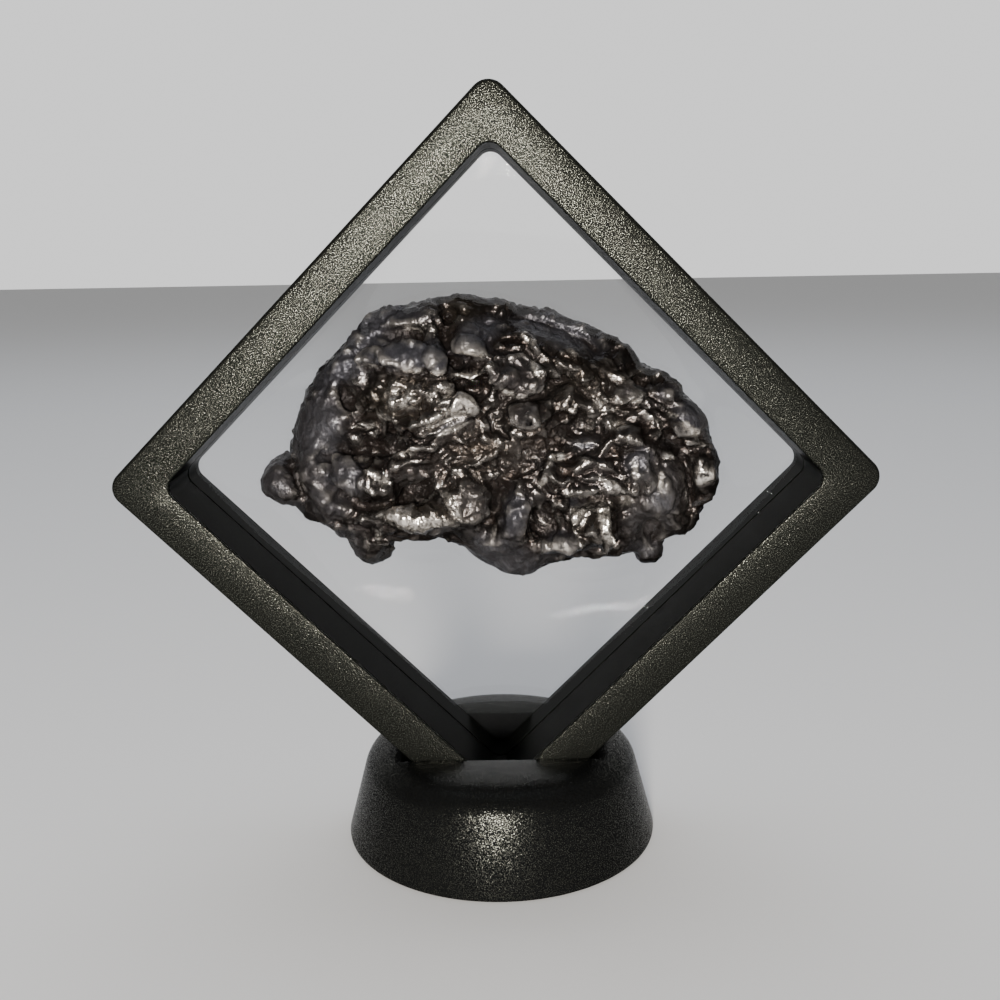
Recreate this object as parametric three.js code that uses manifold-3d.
// An iron meteorite held between two clear elastic films in a square display frame,
// which stands on one corner in a round moulded base.
// Millimetres, +Z up, seen from -Y. The origin is the centre of the base's underside.
import * as THREE from "three";
import { mergeVertices } from "three/addons/utils/BufferGeometryUtils.js";
import Module from "manifold-3d";

const wasm = await Module();
wasm.setup();

// Display frame: two halves that close on the films
const FRAME_SIDE = 90;
const FRAME_DEPTH = 20;
const FRAME_BAND = 6.8;
const FRAME_CENTRE_Z = 64.9;
const CORNER_RADIUS = 3;
const WINDOW_CORNER_RADIUS = 2.3;
const EDGE_ROUNDING = 0.6;
const PARTING_Y = 2.6;
const PARTING_GAP = 0.1;
const PARTING_CHAMFER = 0.25;
const FLANGE_RECESS_HALF = 41.6;
const FLANGE_RECESS_DEPTH = 0.3;
const FLANGE_CORNER_RADIUS = 0.3;
const CORNER_STEPS = 5;

// Films
const FILM_THICKNESS = 0.2;
const FILM_FLANGE_HALF = 41.3;
const FILM_FREE_HALF = 38;
const FILM_INNER_HALF = 36.4;
const FILM_CELLS = 15;
const FILM_CLEARANCE = 0.3;
const FILM_RELAX_STEPS = 500;
const FILM_SAMPLE_STEP = 0.6;

// Meteorite: half thicknesses either side of the films' plane, and its star centre
const FRONT_BULGE = 12.2;
const REAR_BULGE = 10.4;
const BODY_CENTRE_X = 0;
const BODY_CENTRE_Z = 5;
const BODY_DETAIL = 13;
const BODY_REACH_POWER = 0.92;
const BODY_DEPTH_POWER = 0.82;
const FRONT_CROWDING = 0.22;
const NORMAL_REACH = [38, 12, 24];
const KNOB_DETAIL = 2;
const FRONT_RELIEF = 1.35;

// Base
const BASE_RADIUS = 27.5;
const BASE_HEIGHT = 16.8;
const BASE_TOP_RADIUS = 18.7;
const BASE_SHOULDER_RADIUS = 5.6;
const BASE_SIDE_TILT = THREE.MathUtils.degToRad(14.8);
const BASE_FOOT_ROUNDING = 0.8;
const BASE_SHOULDER_STEPS = 5;
const BASE_SEGMENTS = 48;
const POCKET_HALF_WIDTH = 10.2;
const POCKET_FLOOR_Z = 2.38;
const POCKET_SEAT_TOP_Z = 8;
const POCKET_MOUTH_HALF = 17;
const SEAT_GAP = 0.1;

// The outline of the meteorite's body against the light, from the frame's centre,
// anticlockwise from its right end. The knobs that stand out of it follow further down.
const BODY_OUTLINE = [
  [38.5, 0.7], [37.8, 2.9], [36.8, 4.5], [36.9, 6.5], [35.9, 8.8], [34.3, 9.9], [32.8, 11.0],
  [31.5, 13.2], [30.3, 14.6], [28.6, 16.3], [26.0, 17.4], [24.7, 18.2], [23.4, 19.9],
  [20.9, 21.6], [18.6, 22.5], [16.0, 24.0], [13.6, 25.2], [11.0, 26.1], [8.9, 27.0], [6.1, 27.3],
  [4.2, 27.9], [2.6, 28.6], [0.1, 28.7], [-2.1, 28.8], [-4.8, 29.5], [-8.6, 29.6], [-10.9, 28.9],
  [-13.2, 28.2], [-16.4, 28.5], [-18.4, 27.5], [-21.2, 26.1], [-22.9, 24.4], [-24.2, 22.5],
  [-26.8, 19.7], [-28.9, 18.1], [-30.4, 16.8], [-31.3, 14.8], [-32.5, 12.1], [-33.8, 9.5],
  [-34.4, 6.5], [-35.0, 4.4], [-35.4, 2.4], [-35.0, -1.0], [-34.3, -4.8], [-34.1, -6.6],
  [-32.4, -8.1], [-30.6, -8.0], [-28.2, -9.4], [-26.2, -10.9], [-24.0, -11.6], [-20.5, -11.5],
  [-17.0, -11.3], [-13.0, -11.2], [-10.4, -11.2], [-8.2, -12.1], [-6.2, -13.1], [-4.0, -14.6],
  [-2.3, -15.9], [0.3, -17.2], [2.6, -18.4], [4.2, -18.8], [6.0, -18.2], [8.4, -16.7],
  [11.3, -16.2], [14.4, -15.2], [17.7, -15.0], [20.9, -15.0], [23.6, -14.9], [26.6, -13.9],
  [28.7, -12.9], [30.6, -11.5], [33.1, -11.3], [34.6, -9.9], [35.1, -7.6], [36.4, -5.9],
  [37.4, -4.2], [38.2, -1.4],
];

// Rounded lumps on the front: x, z, half length, half width, turn in degrees, height.
// A negative height is a hollow.
const FRONT_LUMPS = [
  [-9, 20, 2.6, 2.0, 90, 1.2], [-13.6, 20, 5, 2.6, 4, 1.2], [-19.6, 19.4, 3, 1.6, 5, 0.8],
  [-14.2, 24.2, 4, 1.6, 3, -1.2], [-3.8, 21.4, 2.8, 1.9, -12, 1.3], [-3.3, 15.4, 3.6, 2.2, -8, -1.5],
  [4, 17, 5.4, 3.6, -20, 1.3], [4.8, 11, 3, 2.4, -15, 1.4], [1.6, 9.6, 2.6, 3.2, 0, -1.2],
  [-11.6, 13.8, 7, 4, 5, 1.2], [-23.6, 14, 1.9, 2.4, 0, -1.5], [-20.6, 10, 2, 1.4, 0, -1.2],
  [-16.8, 7.9, 1.9, 1.8, 0, -1.3], [-23.8, 1, 2.8, 4.4, 28, 1.5], [-19.3, 0.6, 2.4, 3.6, 20, 1.0],
  [-29.6, -0.2, 3, 5.4, 14, 0.9], [-27.8, 4.1, 1.8, 1.5, 0, -1.1], [-13, -2.2, 3.8, 1.9, 14, -2.3],
  [-13.4, -6, 7, 2, -3, 1.2], [-4.4, -3.6, 4.2, 4, 20, 1.6], [3.1, -6.4, 2.6, 4.6, -12, 1.3],
  [8.2, -8.3, 2.6, 3.4, 0, -1.7], [10.6, -11, 4.2, 1.8, 6, 1.1], [16.3, -8.1, 3.5, 3.9, 0, 1.8],
  [23.4, 1.6, 2.3, 3.2, 0, 1.1], [26.5, -2.8, 4, 4.4, 10, 0.9], [26.3, -9.8, 1.8, 2.8, 0, -1.8],
  [31.6, 9.4, 3.6, 3, -20, 1.2], [22, 13.9, 3.2, 2.1, -8, 0.9], [27.7, 14, 2.2, 1.7, 0, 0.9],
  [21, 6.5, 3.2, 2.2, -15, 0.9], [24.8, 15.8, 3, 1.7, 0, -1.1], [34.4, -0.4, 2.2, 3.2, 8, 0.8],
  [12.5, 8, 4.4, 3, 30, -0.9], [13, 18, 4, 2.4, -25, 0.8], [-25, 19, 3, 2.4, 40, 0.7],
];

// Ridges and grooves on the front: half width, height, then points along the line
const FRONT_LINES = [
  [1.3, -1.5, [-7.4, 27.5], [-7, 23], [-5.9, 18.2]],
  [1.7, -1.6, [5.2, 26.6], [9.8, 25.7], [13.6, 23.9], [16.8, 21.6]],
  [1.2, 0.9, [-5.6, 17.4], [-0.6, 17.5], [2.4, 16]],
  [1.0, 0.8, [3.8, 23.6], [7.4, 20.4]],
  [1.3, -1.3, [1.2, 13.8], [3.6, 12.7], [8.4, 13.8], [11.6, 16.6]],
  [1.6, -2.0, [-26, 5], [-21.2, 5.4], [-15.4, 5.5]],
  [1.2, 1.3, [-14.4, 8.8], [-9.6, 10.3], [-4.8, 12.6]],
  [1.0, 0.9, [-15.4, 3.6], [-10.6, 5], [-6, 9.4]],
  [1.1, -1.3, [-33.6, 3.2], [-32.9, -0.2], [-31.6, -3.2]],
  [1.2, -1.2, [-26, -2.6], [-22.2, -4.3], [-18.2, -4]],
  [0.9, 0.9, [-9.5, -0.7], [-8, -3], [-7.6, -5.5], [-6.1, -6.9]],
  [1.1, -1.3, [1, -2], [0, -5], [-1.4, -7.4]],
  [1.2, 1.1, [8.7, -0.7], [13.4, -2.1], [20, -2.1]],
  [1.3, -1.8, [13, -3.6], [21, -3.9]],
  [1.2, -1.2, [31.4, 2.7], [31.9, -2.1], [32.4, -6]],
  [1.0, 0.9, [29.2, 8.2], [31.6, 6.8], [33.5, 5]],
  [1.2, -1.0, [29.4, 5.6], [33.4, 3.8]],
  [2.6, -1.2, [25.8, 15.1], [17.2, 10.3], [9.6, 5.5], [0, 1.7]],
  [1.1, -1.0, [-24.8, 15], [-23.4, 10.2], [-23.2, 6.4]],
];

// Broad dents and swells of the back: x, z, half length, half width, turn, height
const REAR_LUMPS = [
  [-22, 12, 8, 6, 30, 1.4], [-8, 19, 7, 4, -10, -1.2], [6, 14, 9, 6, 15, 1.3], [20, 12, 6, 5, -30, -1.4],
  [30, 3, 5, 7, 10, 1.1], [14, 0, 8, 5, 20, -1.3], [-2, 2, 7, 6, 0, 1.2], [-16, -2, 8, 4, -15, -1.2],
  [-28, 2, 5, 6, 10, 0.9], [4, -10, 7, 4, -20, 1.0], [22, -8, 6, 4, 10, 1.2], [-4, 24, 6, 3, 0, 0.8],
];

// Knobs that stand clear of the body: centre x, y, z from the frame's centre, then half sizes
const KNOBS = [
  { centre: [-36, 2, -1.4], size: [4.1, 5, 4.2] },
  { centre: [-21.6, 1.4, -11.6], size: [3.7, 4.4, 4.8] },
  { centre: [26.4, 2.2, -13.9], size: [2.6, 3.6, 3.3] },
];

const HALF_SIDE = FRAME_SIDE / 2;
const HALF_DEPTH = FRAME_DEPTH / 2;
const WINDOW_HALF = HALF_SIDE - FRAME_BAND;
const DIAGONAL = Math.SQRT1_2;

// Deterministic noise

function latticeValue(ix, iy, iz, seed) {
  let bits = Math.imul(ix, 374761393) + Math.imul(iy, 668265263);
  bits = (bits + Math.imul(iz, 1274126177) + Math.imul(seed, 974634777)) | 0;
  bits = Math.imul(bits ^ (bits >>> 13), 1103515245);
  return ((bits ^ (bits >>> 16)) >>> 0) / 2147483648 - 1;
}

function noise(x, y, z, seed) {
  const ix = Math.floor(x);
  const iy = Math.floor(y);
  const iz = Math.floor(z);
  const fx = THREE.MathUtils.smoothstep(x - ix, 0, 1);
  const fy = THREE.MathUtils.smoothstep(y - iy, 0, 1);
  const fz = THREE.MathUtils.smoothstep(z - iz, 0, 1);
  const edge = (dy, dz) => THREE.MathUtils.lerp(
    latticeValue(ix, iy + dy, iz + dz, seed),
    latticeValue(ix + 1, iy + dy, iz + dz, seed),
    fx,
  );
  const near = THREE.MathUtils.lerp(edge(0, 0), edge(1, 0), fy);
  const far = THREE.MathUtils.lerp(edge(0, 1), edge(1, 1), fy);
  return THREE.MathUtils.lerp(near, far, fz);
}

function ruggedness(x, y, z, seed) {
  const broad = 1 - 2 * Math.abs(noise(x / 7, y / 7, z / 7, seed));
  const fine = noise(x / 3.4, y / 3.4, z / 3.4, seed + 1);
  return 0.45 * broad + 0.4 * fine;
}

// Mesh and solid helpers

function cleanGeometry(geometry) {
  const bare = new THREE.BufferGeometry();
  bare.setAttribute("position", geometry.getAttribute("position").clone());
  if (geometry.index) bare.setIndex(geometry.index.clone());
  const merged = mergeVertices(bare, 1e-4);
  const corners = merged.index.array;
  const kept = [];
  for (let i = 0; i < corners.length; i += 3) {
    const [a, b, c] = [corners[i], corners[i + 1], corners[i + 2]];
    if (a !== b && b !== c && c !== a) kept.push(a, b, c);
  }
  merged.setIndex(kept);
  return merged;
}

function toSolid(geometry) {
  const clean = cleanGeometry(geometry);
  return new wasm.Manifold(new wasm.Mesh({
    numProp: 3,
    vertProperties: Float32Array.from(clean.getAttribute("position").array),
    triVerts: Uint32Array.from(clean.index.array),
  }));
}

function toGeometry(solid) {
  const mesh = solid.getMesh();
  const geometry = new THREE.BufferGeometry();
  geometry.setAttribute("position", new THREE.BufferAttribute(Float32Array.from(mesh.vertProperties), 3));
  geometry.setIndex(Array.from(mesh.triVerts));
  return geometry;
}

function facetedGeometry(points, corners) {
  const geometry = new THREE.BufferGeometry().setFromPoints(points);
  geometry.setIndex(corners);
  return geometry;
}

// Point at (u, v) along the frame's own sides, with the frame turned onto one corner
function framePoint(u, v, y) {
  return new THREE.Vector3((u - v) * DIAGONAL, y, FRAME_CENTRE_Z + (u + v) * DIAGONAL);
}

// Frame halves

function roundedSquareRing({ half, radius, y }) {
  const ring = [];
  const arcCentre = half - radius;
  for (let corner = 0; corner < 4; corner += 1) {
    const cu = corner === 0 || corner === 3 ? arcCentre : -arcCentre;
    const cv = corner < 2 ? arcCentre : -arcCentre;
    for (let step = 0; step <= CORNER_STEPS; step += 1) {
      const angle = (corner + step / CORNER_STEPS) * Math.PI / 2;
      ring.push(framePoint(cu + radius * Math.cos(angle), cv + radius * Math.sin(angle), y));
    }
  }
  return ring;
}

function closedLoft(rings) {
  const count = rings[0].length;
  const corners = [];
  for (let r = 0; r < rings.length; r += 1) {
    const next = (r + 1) % rings.length;
    for (let i = 0; i < count; i += 1) {
      const j = (i + 1) % count;
      const a = r * count + i;
      const b = r * count + j;
      const c = next * count + j;
      const d = next * count + i;
      corners.push(a, b, c, a, c, d);
    }
  }
  return facetedGeometry(rings.flat(), corners);
}

// One half's section, from the parting outside, round the outer face and back along the recess
function frameHalf(side) {
  const parting = PARTING_Y + side * PARTING_GAP / 2;
  const recess = parting + side * FLANGE_RECESS_DEPTH;
  const face = side * HALF_DEPTH;
  const soft = EDGE_ROUNDING;
  const bevel = soft * (1 - DIAGONAL);
  const ring = (half, radius, y) => ({ half, radius, y });
  const section = [
    ring(HALF_SIDE - PARTING_CHAMFER, CORNER_RADIUS - PARTING_CHAMFER, parting),
    ring(HALF_SIDE, CORNER_RADIUS, parting + side * PARTING_CHAMFER),
    ring(HALF_SIDE, CORNER_RADIUS, face - side * soft),
    ring(HALF_SIDE - bevel, CORNER_RADIUS - bevel, face - side * bevel),
    ring(HALF_SIDE - soft, CORNER_RADIUS - soft, face),
    ring(WINDOW_HALF + soft, WINDOW_CORNER_RADIUS + soft, face),
    ring(WINDOW_HALF + bevel, WINDOW_CORNER_RADIUS + bevel, face - side * bevel),
    ring(WINDOW_HALF, WINDOW_CORNER_RADIUS, face - side * soft),
    ring(WINDOW_HALF, WINDOW_CORNER_RADIUS, recess),
    ring(FLANGE_RECESS_HALF, FLANGE_CORNER_RADIUS, recess),
    ring(FLANGE_RECESS_HALF, FLANGE_CORNER_RADIUS, parting),
  ];
  const rings = section.map(roundedSquareRing);
  return closedLoft(side < 0 ? rings : rings.reverse());
}

// Meteorite

function outlineReach(angle) {
  const polar = outlineReach.polar;
  const turn = 2 * Math.PI;
  const wrapped = ((angle - polar[0].angle) % turn + turn) % turn + polar[0].angle;
  let index = polar.findIndex((entry) => entry.angle > wrapped);
  if (index < 0) index = polar.length;
  const before = polar[index - 1];
  const after = index < polar.length ? polar[index] : { ...polar[0], angle: polar[0].angle + turn };
  const share = (wrapped - before.angle) / (after.angle - before.angle);
  return THREE.MathUtils.lerp(before.reach, after.reach, share);
}

outlineReach.polar = BODY_OUTLINE.map(([x, z]) => {
  const dx = x - BODY_CENTRE_X;
  const dz = z - BODY_CENTRE_Z;
  return { angle: Math.atan2(dz, dx), reach: Math.hypot(dx, dz) };
}).sort((p, q) => p.angle - q.angle);

function lumpHeight(x, z, [cx, cz, halfLength, halfWidth, turn, height]) {
  const angle = THREE.MathUtils.degToRad(turn);
  const dx = x - cx;
  const dz = z - cz;
  const along = (dx * Math.cos(angle) + dz * Math.sin(angle)) / halfLength;
  const across = (dz * Math.cos(angle) - dx * Math.sin(angle)) / halfWidth;
  return height * Math.exp(-((along * along + across * across) ** 1.5));
}

function lineHeight(x, z, [halfWidth, height, ...points]) {
  let nearest = Infinity;
  for (let i = 0; i + 1 < points.length; i += 1) {
    const [ax, az] = points[i];
    const [bx, bz] = points[i + 1];
    const length2 = (bx - ax) ** 2 + (bz - az) ** 2;
    const share = THREE.MathUtils.clamp(((x - ax) * (bx - ax) + (z - az) * (bz - az)) / length2, 0, 1);
    nearest = Math.min(nearest, Math.hypot(x - ax - share * (bx - ax), z - az - share * (bz - az)));
  }
  return height * Math.exp(-((nearest / halfWidth) ** 2));
}

function bodyPoint(direction) {
  const flat = Math.hypot(direction.x, direction.z);
  const reach = flat ** BODY_REACH_POWER * outlineReach(Math.atan2(direction.z, direction.x));
  const scale = flat > 0 ? reach / flat : 0;
  const bulge = direction.y < 0 ? FRONT_BULGE : REAR_BULGE;
  const x = BODY_CENTRE_X + direction.x * scale;
  const z = BODY_CENTRE_Z + direction.z * scale;
  const depth = Math.sign(direction.y) * Math.abs(direction.y) ** BODY_DEPTH_POWER * bulge;
  const normal = new THREE.Vector3(
    (x - BODY_CENTRE_X) / NORMAL_REACH[0] ** 2,
    depth / NORMAL_REACH[1] ** 2,
    (z - BODY_CENTRE_Z) / NORMAL_REACH[2] ** 2,
  ).normalize();
  const facing = THREE.MathUtils.smoothstep(-direction.y, 0.02, 0.3);
  const behind = THREE.MathUtils.smoothstep(direction.y, 0.02, 0.3);
  const lumps = FRONT_LUMPS.reduce((sum, lump) => sum + lumpHeight(x, z, lump), 0);
  const lines = FRONT_LINES.reduce((sum, line) => sum + lineHeight(x, z, line), 0);
  const swells = REAR_LUMPS.reduce((sum, lump) => sum + lumpHeight(x, z, lump), 0);
  const rough = ruggedness(x, depth, z, 11) * (0.4 + 0.1 * facing + 0.6 * behind);
  const raise = facing * FRONT_RELIEF * (lumps + lines) + behind * swells + rough;
  return new THREE.Vector3(x, PARTING_Y + depth, z).addScaledVector(normal, raise);
}

// A sphere of triangles, drawn closer together on its front
function crowdedSphere(detail) {
  const sphere = cleanGeometry(new THREE.IcosahedronGeometry(1, detail));
  const position = sphere.getAttribute("position");
  const point = new THREE.Vector3();
  for (let i = 0; i < position.count; i += 1) {
    point.fromBufferAttribute(position, i);
    point.y -= FRONT_CROWDING;
    point.normalize();
    position.setXYZ(i, point.x, point.y, point.z);
  }
  return sphere;
}

function shapedSphere(sphere, shape) {
  const position = sphere.getAttribute("position");
  const point = new THREE.Vector3();
  for (let i = 0; i < position.count; i += 1) {
    point.fromBufferAttribute(position, i);
    const shaped = shape(point);
    position.setXYZ(i, shaped.x, shaped.y, shaped.z + FRAME_CENTRE_Z);
  }
  return sphere;
}

function knobSolid({ centre, size }, index) {
  const sphere = cleanGeometry(new THREE.IcosahedronGeometry(1, KNOB_DETAIL));
  return toSolid(shapedSphere(sphere, (direction) => {
    const lift = 1 + 0.12 * noise(direction.x * 2, direction.y * 2, direction.z * 2, 40 + index);
    return new THREE.Vector3(
      centre[0] + size[0] * direction.x * lift,
      centre[1] + size[1] * direction.y * lift,
      centre[2] + size[2] * direction.z * lift,
    );
  }));
}

function meteoriteGeometry() {
  let solid = toSolid(shapedSphere(crowdedSphere(BODY_DETAIL), bodyPoint));
  for (const knob of KNOBS.map(knobSolid)) solid = solid.add(knob);
  return toGeometry(solid);
}

// Films: an elastic skin at rest on the parting plane, pushed out by the meteorite

function filmLines() {
  const lines = [-FILM_FLANGE_HALF, -FILM_FREE_HALF];
  for (let i = 0; i <= FILM_CELLS; i += 1) {
    lines.push(-FILM_INNER_HALF + (2 * FILM_INNER_HALF * i) / FILM_CELLS);
  }
  lines.push(FILM_FREE_HALF, FILM_FLANGE_HALF);
  return lines;
}

// How far each film node is pushed from the parting plane, on one side of the meteorite
function filmObstacle(lines, geometry, side) {
  const count = lines.length;
  const pushed = new Float64Array(count * count);
  const position = geometry.getAttribute("position");
  const index = geometry.index.array;
  const corner = [new THREE.Vector3(), new THREE.Vector3(), new THREE.Vector3()];
  const cellOf = (value) => lines.findIndex((line) => line > value) - 1;
  for (let t = 0; t < index.length; t += 3) {
    corner.forEach((point, k) => point.fromBufferAttribute(position, index[t + k]));
    const steps = Math.ceil(corner[0].distanceTo(corner[1]) / FILM_SAMPLE_STEP) + 1;
    for (let a = 0; a <= steps; a += 1) {
      for (let b = 0; a + b <= steps; b += 1) {
        const wa = a / steps;
        const wb = b / steps;
        const wc = 1 - wa - wb;
        const x = wa * corner[0].x + wb * corner[1].x + wc * corner[2].x;
        const y = wa * corner[0].y + wb * corner[1].y + wc * corner[2].y;
        const z = wa * corner[0].z + wb * corner[1].z + wc * corner[2].z - FRAME_CENTRE_Z;
        const cellU = cellOf((z + x) * DIAGONAL);
        const cellV = cellOf((z - x) * DIAGONAL);
        const push = side * (y - PARTING_Y) + FILM_CLEARANCE;
        for (const node of [0, 1, count, count + 1]) {
          const at = cellU * count + cellV + node;
          pushed[at] = Math.max(pushed[at], push);
        }
      }
    }
  }
  return pushed;
}

function relaxedFilm(lines, obstacle) {
  const count = lines.length;
  const rest = PARTING_GAP;
  const height = obstacle.map((push) => Math.max(push, rest));
  for (let step = 0; step < FILM_RELAX_STEPS; step += 1) {
    for (let i = 1; i < count - 1; i += 1) {
      for (let j = 1; j < count - 1; j += 1) {
        const at = i * count + j;
        const edge = Math.max(Math.abs(lines[i]), Math.abs(lines[j]));
        const corner = Math.abs(lines[i]) + Math.abs(lines[j]) > 2 * FILM_INNER_HALF - 0.1;
        const mean = (height[at - 1] + height[at + 1] + height[at - count] + height[at + count]) / 4;
        const held = edge > FILM_FREE_HALF - 0.1 || corner;
        height[at] = held ? rest : Math.max(obstacle[at], mean, rest);
      }
    }
  }
  return height;
}

function filmGeometry(side, meteorite) {
  const lines = filmLines();
  const count = lines.length;
  const height = relaxedFilm(lines, filmObstacle(lines, meteorite, side));
  const points = [];
  for (const lift of [0, FILM_THICKNESS]) {
    for (let i = 0; i < count; i += 1) {
      for (let j = 0; j < count; j += 1) {
        points.push(framePoint(lines[i], lines[j], PARTING_Y + side * (height[i * count + j] + lift)));
      }
    }
  }
  const corners = [];
  const outer = count * count;
  const quad = (a, b, c, d) => (side < 0 ? corners.push(a, b, c, a, c, d) : corners.push(a, c, b, a, d, c));
  for (let i = 0; i + 1 < count; i += 1) {
    for (let j = 0; j + 1 < count; j += 1) {
      const a = i * count + j;
      quad(a, a + 1, a + count + 1, a + count);
      quad(outer + a, outer + a + count, outer + a + count + 1, outer + a + 1);
    }
  }
  for (let i = 0; i + 1 < count; i += 1) {
    const last = count - 1;
    const sides = [
      [i * count, (i + 1) * count],
      [(i + 1) * count + last, i * count + last],
      [i + 1, i],
      [last * count + i, last * count + i + 1],
    ];
    for (const [a, b] of sides) quad(a, b, b + outer, a + outer);
  }
  return facetedGeometry(points, corners);
}

// Base

function baseOuter() {
  const arcZ = BASE_HEIGHT - BASE_SHOULDER_RADIUS;
  const foot = BASE_FOOT_ROUNDING;
  const points = [new THREE.Vector2(0, BASE_HEIGHT)];
  for (let i = 0; i <= BASE_SHOULDER_STEPS; i += 1) {
    const angle = Math.PI / 2 - (i / BASE_SHOULDER_STEPS) * (Math.PI / 2 - BASE_SIDE_TILT);
    points.push(new THREE.Vector2(
      BASE_TOP_RADIUS + BASE_SHOULDER_RADIUS * Math.cos(angle),
      arcZ + BASE_SHOULDER_RADIUS * Math.sin(angle),
    ));
  }
  points.push(new THREE.Vector2(BASE_RADIUS - foot * Math.tan(BASE_SIDE_TILT), foot));
  points.push(new THREE.Vector2(BASE_RADIUS - 0.35 * foot, 0.3 * foot));
  points.push(new THREE.Vector2(BASE_RADIUS - foot, 0));
  points.push(new THREE.Vector2(0, 0));
  return toSolid(uprightLathe(points));
}

function uprightLathe(points) {
  const lathe = new THREE.LatheGeometry(points, BASE_SEGMENTS);
  lathe.rotateX(Math.PI / 2);
  lathe.index.array.reverse();
  return lathe;
}

// Upright prism across the base, from (x, z) points
function crossPrism(points, halfWidth) {
  const shape = new THREE.Shape(points.map(([x, z]) => new THREE.Vector2(x, z)));
  const prism = new THREE.ExtrudeGeometry(shape, { depth: 2 * halfWidth, bevelEnabled: false });
  prism.translate(0, 0, -halfWidth);
  prism.rotateX(Math.PI / 2);
  return toSolid(prism);
}

function seatHalf(z) {
  const sharpTip = FRAME_CENTRE_Z - FRAME_SIDE * DIAGONAL;
  return z - sharpTip + SEAT_GAP / DIAGONAL;
}

// The pocket's section across the base: a flat floor, a V seat and a wider mouth
function pocketOutline() {
  const above = BASE_HEIGHT + 1;
  const seatTop = seatHalf(POCKET_SEAT_TOP_Z);
  const flare = (POCKET_MOUTH_HALF - seatTop) / (BASE_HEIGHT - POCKET_SEAT_TOP_Z);
  const right = [
    [seatHalf(POCKET_FLOOR_Z), POCKET_FLOOR_Z],
    [seatTop, POCKET_SEAT_TOP_Z],
    [POCKET_MOUTH_HALF + flare, above],
  ];
  const left = right.map(([x, z]) => [-x, z]).reverse();
  return [...right, ...left];
}

function baseGeometry() {
  return toGeometry(baseOuter().subtract(crossPrism(pocketOutline(), POCKET_HALF_WIDTH)));
}

// Materials and the finished group

const ironMaterial = new THREE.MeshStandardMaterial({ color: 0x4a4440, roughness: 0.32, metalness: 0.9 });
const filmMaterial = new THREE.MeshStandardMaterial({
  color: 0xf4f7f8,
  roughness: 0.05,
  metalness: 0,
  transparent: true,
  opacity: 0.15,
});
const frameMaterial = new THREE.MeshStandardMaterial({ color: 0x1c1d1b, roughness: 0.42, metalness: 0 });
const baseMaterial = new THREE.MeshStandardMaterial({ color: 0x1a1b1c, roughness: 0.45, metalness: 0 });

function addPiece(group, name, geometry, material) {
  geometry.computeVertexNormals();
  const mesh = new THREE.Mesh(geometry, material);
  mesh.name = name;
  group.add(mesh);
  return mesh;
}

const display = new THREE.Group();
const meteorite = meteoriteGeometry();
addPiece(display, "stand_base", baseGeometry(), baseMaterial);
addPiece(display, "frame_front", frameHalf(-1), frameMaterial);
addPiece(display, "frame_rear", frameHalf(1), frameMaterial);
addPiece(display, "film_front", filmGeometry(-1, meteorite), filmMaterial);
addPiece(display, "film_rear", filmGeometry(1, meteorite), filmMaterial);
addPiece(display, "meteorite", meteorite, ironMaterial);

export default display;
